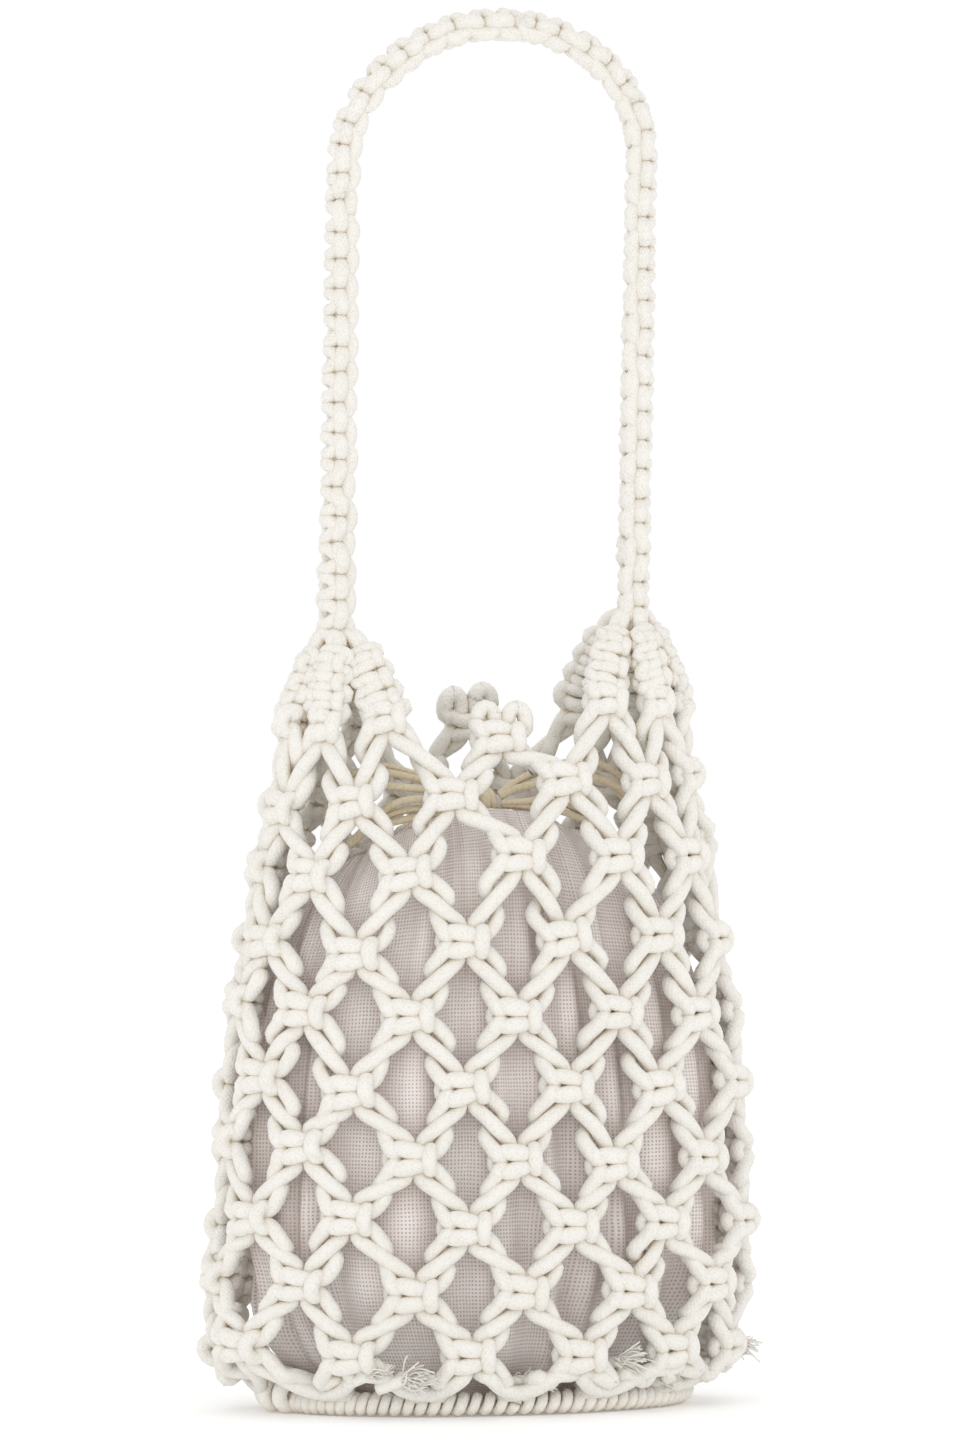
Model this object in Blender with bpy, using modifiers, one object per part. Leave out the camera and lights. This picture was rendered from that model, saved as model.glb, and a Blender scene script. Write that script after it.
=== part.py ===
"""Knotted net bag with a gauze pouch inside and a long knotted handle, standing on its base.

Lengths are in metres. X runs across the bag, the front faces -Y, and the ground is z = 0.
"""

import math
from collections import namedtuple

import bmesh
import bpy
import numpy as np
from mathutils import Vector

# Net: sizes between the middles of opposite walls, and the height of its top row of knots
NET_WIDTH = 0.196
NET_DEPTH = 0.103
NET_HEIGHT = 0.256
KNOTS_PER_ROW = 12
FRONT_DIP = 0.010
BACK_DIP = 0.003
SLUMP = 0.07
SLUMP_FROM = 0.55
SLUMP_OVER = 0.35

# Cord and the square knots tied with it
CORD = 0.006
KNOT_WIDTH = 0.0225
KNOT_HEIGHT = 0.0126
KNOT_THICKNESS = 0.0125
CROWDING = 0.84
FOOT_KNOT_WIDTH = 0.0125
FOOT_KNOT_HEIGHT = 0.0060
FOOT_SPREAD = 0.0060
FOOT_LIFT = 0.0012

# Base
RIM_WIDTH = 0.152
RIM_DEPTH = 0.080
RIM_THICKNESS = 0.009
PANEL_THICKNESS = 0.005

# Sennits and the gather under each foot of the handle
SENNIT_WIDTH = 0.0140
SENNIT_THICKNESS = 0.0090
SENNIT_KNOTS = 2
GATHER_HEIGHT = NET_HEIGHT + 0.0255

# Handle, measured along its middle
HANDLE_SPAN = 0.116
HANDLE_LEG = 0.179
HANDLE_RISE = 0.0505
HANDLE_LEAN = 0.0035
HANDLE_WIDTH = 0.0180
HANDLE_THICKNESS = 0.0110
HANDLE_KNOTS = 52

# Picots: small arches of cord on the two centre knots of the top row
PICOT_RADIUS = 0.0032
PICOT_OFFSET = 0.0060

# Pouch
LINER_HEIGHT = NET_HEIGHT - 0.037
LINER_WALL = 0.0015
LINER_CLEARANCE = 0.001
LINER_FOLDS = 10
FOLD_DEPTH = 0.0018

# Drawcord and its three knots
DRAWCORD = 0.0030
TIE_WIDTH = 0.012
TIE_DEPTH = 0.008
TIE_HEIGHT = 0.010
TIE_LIFT = 0.0006

GAP = 0.0003
SEAT = 0.0008

RING_SIDES = 32
LINER_SIDES = 30
CORD_POINTS_PER_DIAMETER = 0.36
BULGE = 1.0
JOINT = 0.86

# Rows of knots from the top. Height, width and depth are shares of the net's. Lean is how far,
# in degrees, the knots crowd to the sides; pinch parts the inner ones from the outer ones.
NetRow = namedtuple("NetRow", "height width depth lean pinch")
NET_ROWS = (
    NetRow(1.000, 0.755, 0.410, 1.5, 3.5),
    NetRow(0.887, 0.796, 0.640, 0.0, 0.0),
    NetRow(0.798, 0.837, 0.816, -0.7, 0.0),
    NetRow(0.679, 0.898, 0.854, -4.2, 0.0),
    NetRow(0.570, 0.944, 0.874, -5.6, 0.0),
    NetRow(0.468, 0.974, 0.913, -7.0, 0.0),
    NetRow(0.368, 0.985, 0.961, -7.0, 0.0),
    NetRow(0.269, 1.000, 0.990, -7.0, 0.0),
    NetRow(0.180, 0.990, 1.000, -7.0, 0.0),
    NetRow(0.0875, 0.949, 0.971, -7.0, 0.0),
)

# Sennits of one side, from the front. Place counts knots from the front centre. Their tops are
# placed from the handle's foot, outwards and backwards, as shares of the handle's width.
Sennit = namedtuple("Sennit", "name place out back")
SENNITS = (
    Sennit("front_inner", 1, -0.640, -0.560),
    Sennit("front_outer", 2, 0.055, -0.475),
    Sennit("side", 3, 0.420, 0.000),
    Sennit("back_outer", 4, 0.055, 0.475),
    Sennit("back_inner", 5, -0.640, 0.560),
)

# Rings of the pouch from the mouth down: height as a share of the pouch's, width and depth as
# shares of the room inside the net, and how far the ends hang below the front, a share of height.
LinerRing = namedtuple("LinerRing", "height width depth droop fold")
LINER_RINGS = (
    LinerRing(1.000, 0.775, 0.42, 0.096, 0.3),
    LinerRing(0.954, 0.840, 0.68, 0.078, 0.6),
    LinerRing(0.868, 0.890, 0.88, 0.046, 0.9),
    LinerRing(0.685, 0.945, 0.95, 0.014, 1.0),
    LinerRing(0.457, 0.955, 0.95, 0.000, 1.0),
    LinerRing(0.228, 0.935, 0.93, 0.000, 0.9),
    LinerRing(0.091, 0.830, 0.82, 0.000, 0.6),
    LinerRing(0.026, 0.620, 0.60, 0.000, 0.2),
)

# Routes of the drawcord from the middle knot to an end knot, hand-chosen points between them
DRAWCORD_ROUTES = {
    "left_upper": ((-0.012, -0.001, 0.2295), (-0.023, -0.003, 0.2312), (-0.032, -0.003, 0.2333),
                   (-0.039, -0.002, 0.2344), (-0.047, -0.001, 0.2326), (-0.055, -0.001, 0.2270),
                   (-0.060, -0.001, 0.2190)),
    "left_lower": ((-0.016, -0.005, 0.2200), (-0.027, -0.006, 0.2210), (-0.037, -0.005, 0.2190),
                   (-0.044, -0.003, 0.2150)),
    "right_upper": ((0.011, -0.002, 0.2300), (0.017, -0.003, 0.2337), (0.028, -0.003, 0.2374),
                    (0.040, -0.003, 0.2382), (0.049, -0.002, 0.2350), (0.056, -0.001, 0.2280),
                    (0.060, -0.001, 0.2190)),
    "right_lower": ((0.016, -0.005, 0.2225), (0.027, -0.006, 0.2230), (0.036, -0.005, 0.2200),
                    (0.045, -0.003, 0.2150)),
}
MIDDLE_TIE = Vector((0.001, 0.0, LINER_HEIGHT + 0.0035))


def material(name, colour, roughness):
    made = bpy.data.materials.new(name)
    made.use_nodes = True
    surface = made.node_tree.nodes["Principled BSDF"]
    surface.inputs["Base Color"].default_value = (*colour, 1.0)
    surface.inputs["Roughness"].default_value = roughness
    surface.inputs["Metallic"].default_value = 0.0
    return made


def place(name, data, finish, collection):
    """Put a mesh or curve in a collection as a named object."""
    obj = bpy.data.objects.new(name, data)
    obj.data.materials.append(finish)
    collection.objects.link(obj)
    return obj


def mesh_from(name, bm):
    bmesh.ops.recalc_face_normals(bm, faces=bm.faces)
    mesh = bpy.data.meshes.new(name)
    bm.to_mesh(mesh)
    bm.free()
    mesh.shade_smooth()
    return mesh


def skin(bm, rings, cap_first, cap_last):
    """Join rings of points, each with as many corners, and close the ends asked for."""
    made = [[bm.verts.new(point) for point in ring] for ring in rings]
    for upper, lower in zip(made, made[1:]):
        for i in range(len(upper)):
            j = (i + 1) % len(upper)
            bm.faces.new((upper[i], upper[j], lower[j], lower[i]))
    if cap_first:
        bm.faces.new(made[0])
    if cap_last:
        bm.faces.new(reversed(made[-1]))


def slumped(point):
    """Tilt the upper half of the bag, because it hangs lower on its left side."""
    share = min(max((point.z / NET_HEIGHT - SLUMP_FROM) / SLUMP_OVER, 0.0), 1.0)
    return point + Vector((0, 0, SLUMP * point.x * share * share * (3 - 2 * share)))


def wall_size(height):
    """Half width and half depth of the net's middle surface at a height."""
    shares = [row.height for row in reversed(NET_ROWS)]
    widths = [row.width * NET_WIDTH / 2 for row in reversed(NET_ROWS)]
    depths = [row.depth * NET_DEPTH / 2 for row in reversed(NET_ROWS)]
    at = height / NET_HEIGHT
    return float(np.interp(at, shares, widths)), float(np.interp(at, shares, depths))


def ring_point(half_width, half_depth, angle, height):
    """A point of an ellipse, with the angle counted from the front centre towards +X."""
    return Vector((half_width * math.sin(angle), -half_depth * math.cos(angle), height))


def knot_angle(row, count):
    """Angle of a knot, counted round from the front centre in knots."""
    even = math.tau * count / KNOTS_PER_ROW
    lean = row.lean * math.sin(2 * even) + row.pinch * math.sin(4 * even)
    return even + math.radians(lean)


def top_dip(angle):
    """How far the top row hangs below its ends, at the front and at the back centre."""
    depth = FRONT_DIP if math.cos(angle) > 0 else BACK_DIP
    return depth * math.cos(angle) ** 8


def knot_middle(row, count):
    angle = knot_angle(row, count)
    height = row.height * NET_HEIGHT
    if row is NET_ROWS[0]:
        height -= top_dip(angle)
    return ring_point(row.width * NET_WIDTH / 2, row.depth * NET_DEPTH / 2, angle, height)


Frame = namedtuple("Frame", "middle right up out")


def frame_at(middle, angle, half_width, half_depth, lower, upper):
    """Directions on the wall at a knot, where lower and upper are points of the wall near it."""
    right = Vector((half_width * math.cos(angle), half_depth * math.sin(angle), 0)).normalized()
    up = upper - lower
    up = (up - up.dot(right) * right).normalized()
    return Frame(middle, right, up, right.cross(up))


def knot_frame(index, count):
    """Frame of a knot of one of the rows, which leans with the wall from row to row."""
    row = NET_ROWS[index]
    angle = knot_angle(row, count)
    above = NET_ROWS[max(index - 1, 0)]
    below = NET_ROWS[min(index + 1, len(NET_ROWS) - 1)]
    ends = [
        ring_point(r.width * NET_WIDTH / 2, r.depth * NET_DEPTH / 2, angle, r.height * NET_HEIGHT)
        for r in (below, above)
    ]
    half_width, half_depth = row.width * NET_WIDTH / 2, row.depth * NET_DEPTH / 2
    return frame_at(knot_middle(row, count), angle, half_width, half_depth, *ends)


def foot_frame(count):
    """Frame of one of the small knots in which the cords meet, just above the base rim."""
    last = NET_ROWS[-1]
    angle = knot_angle(last, count)
    half_width, half_depth = (RIM_WIDTH + FOOT_SPREAD) / 2, (RIM_DEPTH + FOOT_SPREAD) / 2
    height = RIM_THICKNESS + FOOT_KNOT_HEIGHT / 2 + FOOT_LIFT
    middle = ring_point(half_width, half_depth, angle, height)
    upper = ring_point(last.width * NET_WIDTH / 2, last.depth * NET_DEPTH / 2, angle,
                       last.height * NET_HEIGHT)
    return frame_at(middle, angle, half_width, half_depth, middle, upper)


# Corners of a knot, as shares of its half width and half height, anticlockwise from its right
# side, with the thickness there as a share of the thickness at its middle
CORNER_QUARTER = ((1.00, 0.45, 0.46), (0.74, 0.78, 0.60), (0.40, 1.00, 0.46))

# The four-sided faces of the cords below a knot: two of its corners, then two of the next knot's
LEFT_LIMB = ((7, 6, 2, 1), (8, 7, 1, 0))
RIGHT_LIMB = ((10, 9, 5, 4), (11, 10, 4, 3))


def knot_corners():
    right_top = list(CORNER_QUARTER)
    left_top = [(-x, y, w) for x, y, w in reversed(CORNER_QUARTER)]
    left_low = [(-x, -y, w) for x, y, w in CORNER_QUARTER]
    right_low = [(x, -y, w) for x, y, w in reversed(CORNER_QUARTER)]
    return right_top + left_top + left_low + right_low


def half_width_between(middles, index, full):
    """Half the width of a knot, which narrows where its neighbours crowd it."""
    here = middles[index]
    nearest = min((middles[(index + step) % len(middles)] - here).length for step in (-1, 1))
    return min(full, CROWDING * nearest) / 2


def net_rows():
    """Frames, half widths and half heights of the knots of each row, and of the foot knots."""
    rows = []
    for index in range(len(NET_ROWS)):
        frames = [knot_frame(index, i + 0.5 * (index % 2)) for i in range(KNOTS_PER_ROW)]
        rows.append((frames, KNOT_WIDTH, KNOT_HEIGHT))
    shift = 0.5 * (len(NET_ROWS) % 2)
    feet = [foot_frame(i + shift) for i in range(KNOTS_PER_ROW)]
    rows.append((feet, FOOT_KNOT_WIDTH, FOOT_KNOT_HEIGHT))
    sized = []
    for frames, width, height in rows:
        middles = [frame.middle for frame in frames]
        halves = [half_width_between(middles, i, width) for i in range(KNOTS_PER_ROW)]
        sized.append((frames, halves, height / 2))
    return sized


def make_net(finish, collection):
    """The net: one sheet of knots and the pairs of cords between them, then given thickness."""
    bm = bmesh.new()
    weights = {}
    corners = knot_corners()
    rows = []
    for frames, halves, half_height in net_rows():
        row = []
        for frame, half_width in zip(frames, halves):
            ring = []
            for x, y, weight in corners:
                point = frame.middle + frame.right * x * half_width + frame.up * y * half_height
                vertex = bm.verts.new(slumped(point))
                weights[vertex] = weight
                ring.append(vertex)
            row.append(ring)
        rows.append(row)
    knots = [bm.faces.new(ring) for row in rows for ring in row]
    for index, (row, below) in enumerate(zip(rows, rows[1:])):
        for i, ring in enumerate(row):
            left = below[(i - 1 + index % 2) % KNOTS_PER_ROW]
            right = below[(i + index % 2) % KNOTS_PER_ROW]
            for a, b, c, d in LEFT_LIMB:
                bm.faces.new((ring[a], ring[b], left[c], left[d]))
            for a, b, c, d in RIGHT_LIMB:
                bm.faces.new((ring[a], ring[b], right[c], right[d]))
    for vertex in bmesh.ops.poke(bm, faces=knots)["verts"]:
        weights[vertex] = 1.0
    bm.verts.index_update()
    by_index = {vertex.index: weight for vertex, weight in weights.items()}
    net = place("net", mesh_from("net", bm), finish, collection)
    group = net.vertex_groups.new(name="thickness")
    for index, weight in by_index.items():
        group.add([index], weight, "REPLACE")
    shell = net.modifiers.new("thickness", "SOLIDIFY")
    shell.thickness = KNOT_THICKNESS
    shell.offset = 0.0
    shell.vertex_group = group.name
    shell.thickness_vertex_group = 0.0
    return net


# Corners of a flat band's section, as shares of its half width and half thickness
BAND_CORNERS = ((1.0, 0.0), (0.6, 1.0), (-0.6, 1.0), (-1.0, 0.0), (-0.6, -1.0), (0.6, -1.0))


def make_band(name, stations, width, thickness, finish, collection):
    """A flat band through stations of (middle, across, through, scale), closed at both ends."""
    rings = []
    for middle, across, through, scale in stations:
        rings.append([
            middle + across * (x * scale * width / 2) + through * (y * scale * thickness / 2)
            for x, y in BAND_CORNERS
        ])
    bm = bmesh.new()
    skin(bm, rings, cap_first=True, cap_last=True)
    return place(name, mesh_from(name, bm), finish, collection)


def make_tube(name, points, diameter, finish, collection, cyclic=False, resolution=2):
    """A round cord through points, with flat ends."""
    curve = bpy.data.curves.new(name, "CURVE")
    curve.dimensions = "3D"
    curve.bevel_depth = diameter / 2
    curve.bevel_resolution = resolution
    curve.use_fill_caps = True
    spline = curve.splines.new("POLY")
    spline.points.add(len(points) - 1)
    for target, point in zip(spline.points, points):
        target.co = (*point, 1.0)
    spline.use_cyclic_u = cyclic
    return place(name, curve, finish, collection)


def make_sennits(finish, collection):
    """Short stacks of knots from the top row to the gather under each foot of the handle."""
    levels = [(0.0, JOINT)]
    for knot in range(SENNIT_KNOTS):
        levels.append(((knot + 0.5) / (SENNIT_KNOTS + 0.3), BULGE))
        levels.append(((knot + 1.0) / (SENNIT_KNOTS + 0.3), JOINT))
    levels.append((1.0, 0.7 * JOINT))
    for side, word in ((-1, "left"), (1, "right")):
        for sennit in SENNITS:
            frame = knot_frame(0, side * sennit.place)
            start = frame.middle + frame.up * (KNOT_HEIGHT / 2 + SEAT)
            top = Vector((side * (HANDLE_SPAN / 2 + sennit.out * HANDLE_WIDTH),
                          sennit.back * HANDLE_WIDTH, GATHER_HEIGHT - GAP))
            through = frame.right.cross((top - start).normalized()).normalized()
            stations = [
                (slumped(start.lerp(top, share)), frame.right, through if share else frame.out, scale)
                for share, scale in levels
            ]
            make_band(f"sennit_{word}_{sennit.name}", stations, SENNIT_WIDTH,
                      SENNIT_THICKNESS, finish, collection)


def handle_line():
    """Points along the middle of the handle, from its left foot to its right foot."""
    spring = GATHER_HEIGHT + HANDLE_LEG
    line = [Vector((-HANDLE_SPAN / 2, 0, GATHER_HEIGHT))]
    for angle in np.linspace(0, math.pi, 49):
        line.append(Vector((HANDLE_LEAN - HANDLE_SPAN / 2 * math.cos(angle), 0,
                            spring + HANDLE_RISE * math.sin(angle))))
    line.append(Vector((HANDLE_SPAN / 2, 0, GATHER_HEIGHT)))
    return line


def even_points(line, count):
    """Count points at even distances along a line of straight pieces."""
    line = np.array(line)
    along = np.concatenate([[0], np.cumsum(np.linalg.norm(np.diff(line, axis=0), axis=1))])
    at = np.linspace(0, along[-1], count)
    return [Vector(row) for row in np.stack([np.interp(at, along, line[:, k]) for k in range(3)], 1)]


def make_handle(finish, collection):
    """One long flat band of square knots, widest at the middle of each knot."""
    points = [slumped(point) for point in even_points(handle_line(), 2 * HANDLE_KNOTS + 1)]
    across = Vector((0, 1, 0))
    stations = []
    for i, point in enumerate(points):
        ahead = points[min(i + 1, len(points) - 1)] - points[max(i - 1, 0)]
        if i in (0, len(points) - 1):
            ahead = Vector((0, 0, ahead.z))
        through = across.cross(ahead.normalized())
        stations.append((point, across, through, BULGE if i % 2 else JOINT))
    make_band("handle", stations, HANDLE_WIDTH, HANDLE_THICKNESS, finish, collection)


def make_picots(finish, collection):
    """Two arches of cord on the centre knot of the top row, at the front and at the back."""
    for word, count in (("front", 0), ("back", KNOTS_PER_ROW // 2)):
        frame = knot_frame(0, count)
        foot = frame.middle + frame.up * (KNOT_HEIGHT / 2 + SEAT)
        for side, name in ((-1, "left"), (1, "right")):
            points = [
                slumped(foot + frame.right * (side * PICOT_OFFSET - PICOT_RADIUS * math.cos(turn))
                        + frame.up * PICOT_RADIUS * math.sin(turn))
                for turn in np.linspace(0, math.pi, 7)
            ]
            make_tube(f"picot_{word}_{name}", points, CORD, finish, collection)


def ellipse(half_width, half_depth, outwards, sides):
    """Corners of an ellipse moved outwards by a distance."""
    points = []
    for i in range(sides):
        angle = math.tau * i / sides
        normal = Vector((half_depth * math.sin(angle), -half_width * math.cos(angle)))
        point = Vector((half_width * math.sin(angle), -half_depth * math.cos(angle)))
        points.append(point + normal.normalized() * outwards)
    return points


def make_base(finish, collection):
    """The floor of the bag and the ring of wrapped cord round it."""
    half_width, half_depth = RIM_WIDTH / 2, RIM_DEPTH / 2
    ring = [
        Vector((*point, RIM_THICKNESS / 2 + GAP))
        for point in ellipse(half_width, half_depth, 0, RING_SIDES)
    ]
    make_tube("base_rim", ring, RIM_THICKNESS, finish, collection, cyclic=True)
    outline = bpy.data.curves.new("base_panel", "CURVE")
    outline.dimensions = "2D"
    outline.fill_mode = "BOTH"
    outline.extrude = PANEL_THICKNESS / 2
    spline = outline.splines.new("POLY")
    edge = ellipse(half_width, half_depth, -RIM_THICKNESS / 2 - GAP, RING_SIDES)
    spline.points.add(len(edge) - 1)
    for target, point in zip(spline.points, edge):
        target.co = (*point, 0.0, 1.0)
    spline.use_cyclic_u = True
    panel = place("base_panel", outline, finish, collection)
    panel.location.z = PANEL_THICKNESS / 2


def liner_ring(ring):
    """Half width, half depth and height of one ring of the pouch."""
    height = ring.height * LINER_HEIGHT
    half_width, half_depth = wall_size(height)
    room = KNOT_THICKNESS / 2 + LINER_CLEARANCE
    return ring.width * (half_width - room), ring.depth * (half_depth - room), height


def make_liner(finish, collection):
    """The pouch: a soft folded shell, open at the top, whose mouth hangs lower at its ends."""
    rings = []
    for ring in LINER_RINGS:
        half_width, half_depth, height = liner_ring(ring)
        points = []
        for i in range(LINER_SIDES):
            angle = math.tau * i / LINER_SIDES
            fold = FOLD_DEPTH * ring.fold * (math.cos(LINER_FOLDS * angle) - 1) / 2
            droop = ring.droop * LINER_HEIGHT * math.sin(angle) ** 2
            points.append(ring_point(half_width + fold, half_depth + fold, angle, height - droop))
        rings.append(points)
    bm = bmesh.new()
    skin(bm, rings, cap_first=False, cap_last=True)
    liner = place("liner", mesh_from("liner", bm), finish, collection)
    shell = liner.modifiers.new("wall", "SOLIDIFY")
    shell.thickness = LINER_WALL
    shell.offset = -1.0
    return liner


def end_tie(side):
    """Middle of the knot at one end of the pouch's mouth, resting on the rim there."""
    mouth = LINER_RINGS[0]
    half_width, _, height = liner_ring(mouth)
    rim = height - mouth.droop * LINER_HEIGHT
    return Vector((side * half_width, 0, rim + TIE_LIFT + TIE_HEIGHT / 2))


def outside_tie(middle, towards):
    """Point just outside a knot, on the way from its middle to another point."""
    way = (towards - middle).normalized()
    reach = 1 / math.sqrt((way.x / TIE_WIDTH) ** 2 + (way.y / TIE_DEPTH) ** 2
                          + (way.z / TIE_HEIGHT) ** 2) / 2
    return middle + way * (reach + GAP)


def smooth_line(points):
    """Points on a smooth curve through the given ones (Catmull-Rom)."""
    ends = [2 * points[0] - points[1], *points, 2 * points[-1] - points[-2]]
    line = []
    for a, b, c, d in zip(ends, ends[1:], ends[2:], ends[3:]):
        for t in np.linspace(0, 1, 8, endpoint=False):
            line.append(0.5 * (2 * b + (c - a) * t + (2 * a - 5 * b + 4 * c - d) * t ** 2
                               + (3 * b - a - 3 * c + d) * t ** 3))
    return [*line, points[-1]]


def make_drawcords(finish, collection):
    """The drawcord's four visible runs, its middle knot and the two end knots."""
    ties = {"middle": MIDDLE_TIE, "left": end_tie(-1), "right": end_tie(1)}
    for word, middle in ties.items():
        bm = bmesh.new()
        bmesh.ops.create_icosphere(bm, subdivisions=2, radius=0.5)
        bmesh.ops.scale(bm, vec=(TIE_WIDTH, TIE_DEPTH, TIE_HEIGHT), verts=bm.verts)
        tie = place(f"drawcord_knot_{word}", mesh_from(word, bm), finish, collection)
        tie.location = middle
    for name, route in DRAWCORD_ROUTES.items():
        route = [Vector(point) for point in route]
        end = ties[name.split("_")[0]]
        start = outside_tie(ties["middle"], route[0])
        line = smooth_line([start, *route, outside_tie(end, route[-1])])
        length = sum((b - a).length for a, b in zip(line, line[1:]))
        count = max(4, round(length / DRAWCORD * CORD_POINTS_PER_DIAMETER))
        make_tube(f"drawcord_{name}", even_points(line, count), DRAWCORD, finish, collection)


def main():
    for obj in list(bpy.data.objects):
        bpy.data.objects.remove(obj)
    bag = bpy.data.collections.new("net_bag")
    bpy.context.scene.collection.children.link(bag)
    cotton = material("cotton_cord", (0.90, 0.88, 0.83), 0.85)
    base_cotton = material("base_cord", (0.86, 0.82, 0.74), 0.85)
    gauze = material("gauze", (0.66, 0.60, 0.59), 0.9)
    waxed = material("waxed_cord", (0.66, 0.55, 0.38), 0.6)
    make_net(cotton, bag)
    make_sennits(cotton, bag)
    make_picots(cotton, bag)
    make_handle(cotton, bag)
    make_base(base_cotton, bag)
    make_liner(gauze, bag)
    make_drawcords(waxed, bag)


main()
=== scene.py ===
"""Knotted net bag with a gauze pouch inside, standing on a pale floor.

Lengths are in metres. X runs across the bag, the front faces -Y, and the ground is z = 0.
"""

import math

import bpy
import numpy as np
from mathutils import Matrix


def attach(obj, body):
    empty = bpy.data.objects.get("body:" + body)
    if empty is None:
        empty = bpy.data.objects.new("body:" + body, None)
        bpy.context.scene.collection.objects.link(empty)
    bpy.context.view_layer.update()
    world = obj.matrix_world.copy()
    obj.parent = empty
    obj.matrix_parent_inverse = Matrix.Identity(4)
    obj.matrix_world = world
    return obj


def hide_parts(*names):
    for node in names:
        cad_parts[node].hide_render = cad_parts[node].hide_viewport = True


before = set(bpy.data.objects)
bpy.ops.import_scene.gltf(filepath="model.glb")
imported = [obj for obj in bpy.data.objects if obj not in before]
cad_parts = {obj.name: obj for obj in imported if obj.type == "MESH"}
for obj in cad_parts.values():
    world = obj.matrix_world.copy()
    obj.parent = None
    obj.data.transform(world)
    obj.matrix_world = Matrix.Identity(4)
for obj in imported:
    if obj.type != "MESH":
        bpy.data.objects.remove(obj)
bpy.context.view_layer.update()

# Camera
# A long lens, level with the middle of the bag and a little to its left, so that both its
# front and its left side show.
CAMERA_TURN = math.radians(-16)
CAMERA_DISTANCE = 2.6
CAMERA_HEIGHT = 0.2518
CAMERA_LENS = 174.5

bpy.ops.object.camera_add(
    location=(CAMERA_DISTANCE * math.sin(CAMERA_TURN), -CAMERA_DISTANCE * math.cos(CAMERA_TURN),
              CAMERA_HEIGHT),
    rotation=(math.pi / 2, 0, CAMERA_TURN),
)
camera = bpy.context.object
camera.data.lens = CAMERA_LENS
camera.data.sensor_width = 36
camera.data.clip_end = 20
bpy.context.scene.camera = camera

# Drawcord
# Thin tan twisted cord in four runs over the mouth of the pouch. It is bound in a knot at the
# middle, goes through the folds of the gauze, and is knotted at both ends of the mouth.
DRAWCORD = 0.0027
DRAWCORD_SIDES = 12
DRAWCORD_SPACING = 0.0007
MIDDLE_TIE = np.array([0.001, 0.0, 0.2225])
END_TIES = {"left": np.array([-0.0559, 0.0, 0.2036]), "right": np.array([0.0559, 0.0, 0.2036])}
TIE_SIZE = np.array([0.012, 0.008, 0.010])
TIE_GAP = 0.0003

# Each run's way from the middle tie to an end tie
DRAWCORD_ROUTES = {
    "left_upper": ((-0.012, -0.001, 0.2295), (-0.023, -0.003, 0.2312), (-0.032, -0.003, 0.2333),
                   (-0.039, -0.002, 0.2344), (-0.047, -0.001, 0.2326), (-0.055, -0.001, 0.2270),
                   (-0.060, -0.001, 0.2190)),
    "left_lower": ((-0.016, -0.005, 0.2200), (-0.027, -0.006, 0.2210), (-0.037, -0.005, 0.2190),
                   (-0.044, -0.003, 0.2150)),
    "right_upper": ((0.011, -0.002, 0.2300), (0.017, -0.003, 0.2337), (0.028, -0.003, 0.2374),
                    (0.040, -0.003, 0.2382), (0.049, -0.002, 0.2350), (0.056, -0.001, 0.2280),
                    (0.060, -0.001, 0.2190)),
    "right_lower": ((0.016, -0.005, 0.2225), (0.027, -0.006, 0.2230), (0.036, -0.005, 0.2200),
                    (0.045, -0.003, 0.2150)),
}

# The strands of each run part between its ties: metres outwards, forwards and upwards midway
STRANDS = {
    "left_upper": ((0.0, 0.0, 0.0), (0.0, -0.0035, -0.0050), (0.0, 0.0030, 0.0022)),
    "left_lower": ((0.0, 0.0, 0.0), (0.0, -0.0035, 0.0040), (0.0, -0.0010, -0.0034)),
    "right_upper": ((0.0, 0.0, 0.0), (0.0, -0.0040, -0.0060), (-0.004, 0.0030, -0.0030)),
    "right_lower": ((0.0, 0.0, 0.0), (0.0, -0.0040, 0.0042), (0.0, -0.0015, -0.0032)),
}

# Each tie is wound in three layers: size as shares of the tie's, turns, and lean of the turns
TIE_LAYERS = (((0.75, 1, 1.2), 4, 0.31), ((0.7, 0.85, 1.0), 3, 0.53), ((0.5, 0.7, 0.8), 3, 0.17))

# How much cord varies in thickness and strays from its line, and every how many points
CORD_UNEVEN = 0.04
CORD_STRAY = 0.00012
CORD_BEAT = 4

rng = np.random.default_rng(5)


def unit(vector):
    """The vector's direction, one long."""
    return vector / np.linalg.norm(vector)


def smooth_line(points, spacing):
    """Points at even distances on a smooth curve through the given ones. Columns after the
    third, such as a radius, are carried along."""
    points = np.asarray(points, float)
    ends = np.vstack([2 * points[0] - points[1], points, 2 * points[-1] - points[-2]])
    steps = np.linalg.norm(np.diff(ends[:, :3], axis=0), axis=1)
    knots = np.concatenate([[0], np.cumsum(np.sqrt(steps))])
    share = np.linspace(0, 1, 8, endpoint=False)
    line = []
    for i in range(len(points) - 1):
        p, t = ends[i:i + 4], knots[i:i + 4]
        at = (t[1] + (t[2] - t[1]) * share)[:, None]
        a = [(p[k] * (t[k + 1] - at) + p[k + 1] * (at - t[k])) / (t[k + 1] - t[k]) for k in range(3)]
        b = [(a[k] * (t[k + 2] - at) + a[k + 1] * (at - t[k])) / (t[k + 2] - t[k]) for k in range(2)]
        line.append((b[0] * (t[2] - at) + b[1] * (at - t[1])) / (t[2] - t[1]))
    line = np.vstack([*line, points[-1:]])
    along = np.concatenate([[0], np.cumsum(np.linalg.norm(np.diff(line[:, :3], axis=0), axis=1))])
    at = np.linspace(0, along[-1], max(3, round(along[-1] / spacing) + 1))
    return np.stack([np.interp(at, along, column) for column in line.T], axis=1)


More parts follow.
